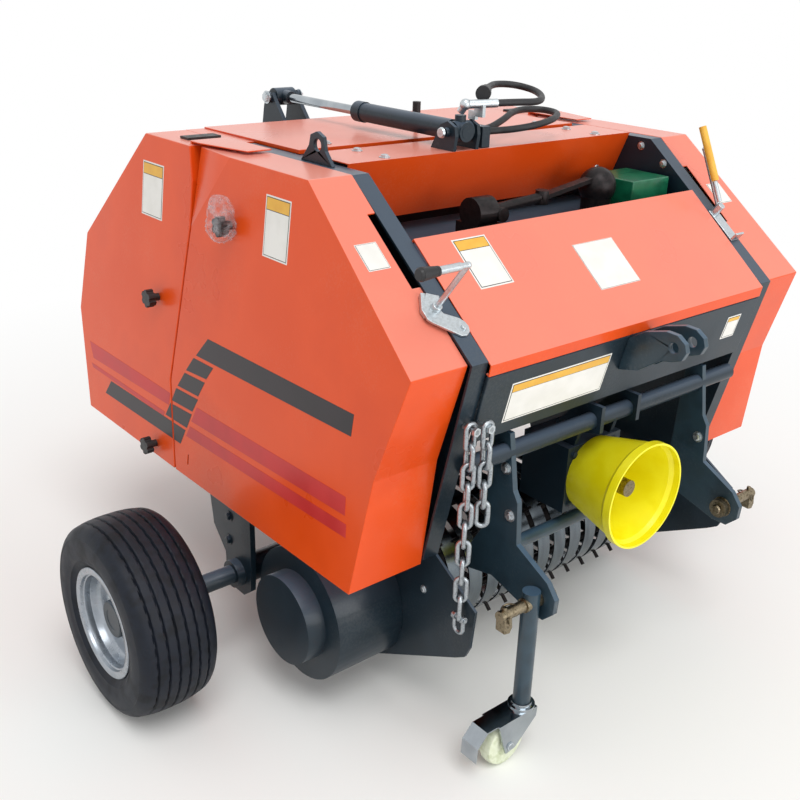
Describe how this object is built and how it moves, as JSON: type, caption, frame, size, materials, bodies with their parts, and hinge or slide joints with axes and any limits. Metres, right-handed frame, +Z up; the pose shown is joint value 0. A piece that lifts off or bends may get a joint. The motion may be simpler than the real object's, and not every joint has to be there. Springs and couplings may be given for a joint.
{
  "type": "mini round baler",
  "caption": "Mini round baler for a tractor's three-point hitch, with opening tailgate, tined pickup, yellow shaft guard, transport wheels and a caster leg.",
  "frame": {"origin": "on the ground under the middle of the machine, 20 mm behind the wheel axle, on the centre plane", "axes": "+Z up, +Y to the rear, +X to the machine's left; the hitch is at -Y"},
  "size_m": [1.78, 1.346, 1.1815],
  "materials": {
    "orange_paint": "gloss",
    "blue_grey_paint": "satin",
    "hitch_paint": "satin",
    "bright_steel": "satin",
    "chrome": "polished",
    "zinc": "satin",
    "tine_steel": "satin",
    "yellow_plastic": "gloss",
    "black_plastic": "matte",
    "green_paint": "satin",
    "twine": "matte",
    "tyre_rubber": "matte",
    "silver_paint": "satin",
    "hose_rubber": "matte",
    "nylon": "gloss"
  },
  "bodies": {
    "chassis": {"side_plates": "blue_grey_paint", "cover_front_left": "orange_paint", "cover_front_right": "orange_paint", "front_cover_knobs": "black_plastic", "front_panel": "orange_paint", "top_cover": "orange_paint", "headstock_panel": "blue_grey_paint", "cross_tube": "blue_grey_paint", "low_tube": "hitch_paint", "hose_fittings": "zinc", "hose_upper": "hose_rubber", "hose_lower": "hose_rubber", "hose_coupler": "black_plastic", "port_block": "blue_grey_paint", "top_link_ears": "blue_grey_paint", "hitch_plates": "hitch_paint", "hitch_pins": "zinc", "gearbox": "blue_grey_paint", "pto_guard": "yellow_plastic", "stripper_bands": "bright_steel", "band_carriers": "blue_grey_paint", "drum_case": "blue_grey_paint", "rollers_front": "blue_grey_paint", "twine_tray": "blue_grey_paint", "axle_hangers": "blue_grey_paint", "caster_leg": "hitch_paint", "ram_bracket": "blue_grey_paint", "lifting_lug": "blue_grey_paint", "crank_brackets": "zinc", "crank_rods": "bright_steel", "crank_grips": "black_plastic", "crank_sleeve": "yellow_plastic", "twine_drive": "tine_steel", "twine_box": "green_paint", "twine_ball": "twine", "safety_chain": "zinc"},
    "tailgate": {"tailgate_plates": "blue_grey_paint", "tailgate_skin": "orange_paint", "cover_rear_left": "orange_paint", "cover_rear_right": "orange_paint", "rear_cover_knobs": "black_plastic", "cover_straps": "black_plastic", "roof_knob": "black_plastic", "rollers_rear": "blue_grey_paint", "ram_lever": "blue_grey_paint"},
    "ram_barrel_body": {"ram_barrel": "blue_grey_paint"},
    "ram_rod_body": {"ram_rod": "chrome"},
    "wheel_left": {"tyre_left": "tyre_rubber", "rim_left": "silver_paint"},
    "wheel_right": {"tyre_right": "tyre_rubber", "rim_right": "silver_paint"},
    "caster_fork_body": {"caster_fork": "chrome"},
    "caster_wheel_body": {"caster_wheel": "nylon"},
    "pto_stub_body": {"pto_stub": "bright_steel"},
    "reel_body": {"pickup_reel": "tine_steel"}
  },
  "joints": [
    {"name": "tailgate_hinge", "type": "hinge", "parent": "chassis", "child": "tailgate", "pos_m": [0, 0, 1.03], "axis": [1, 0, 0], "range_deg": [0, 60]},
    {"name": "ram_pivot", "type": "hinge", "parent": "chassis", "child": "ram_barrel_body", "pos_m": [-0.11, -0.141, 1.096], "axis": [1, 0, 0], "range_deg": [0, 50]},
    {"name": "ram_slide", "type": "slide", "parent": "ram_barrel_body", "child": "ram_rod_body", "axis": [0, 1, 0], "range_m": [-0.12, 0]},
    {"name": "wheel_left_spin", "type": "hinge", "parent": "chassis", "child": "wheel_left", "pos_m": [0.8075, -0.02, 0.2], "axis": [1, 0, 0], "continuous": true},
    {"name": "wheel_right_spin", "type": "hinge", "parent": "chassis", "child": "wheel_right", "pos_m": [-0.8075, -0.02, 0.2], "axis": [1, 0, 0], "continuous": true},
    {"name": "caster_swivel", "type": "hinge", "parent": "chassis", "child": "caster_fork_body", "pos_m": [-0.315, -0.61, 0.11], "axis": [0, 0, 1], "continuous": true},
    {"name": "caster_spin", "type": "hinge", "parent": "caster_fork_body", "child": "caster_wheel_body", "pos_m": [-0.363, -0.61, 0.048], "axis": [0, 1, 0], "continuous": true},
    {"name": "drive_stub_spin", "type": "hinge", "parent": "chassis", "child": "pto_stub_body", "pos_m": [0, -0.52, 0.45], "axis": [0, 1, 0], "continuous": true},
    {"name": "reel_spin", "type": "hinge", "parent": "chassis", "child": "reel_body", "pos_m": [0, -0.225, 0.203], "axis": [1, 0, 0], "continuous": true}
  ],
  "couplings": [
    {"joint": "ram_pivot", "follows": "tailgate_hinge", "ratio": 0.81},
    {"joint": "ram_slide", "follows": "tailgate_hinge", "m_per_rad": -0.109}
  ]
}
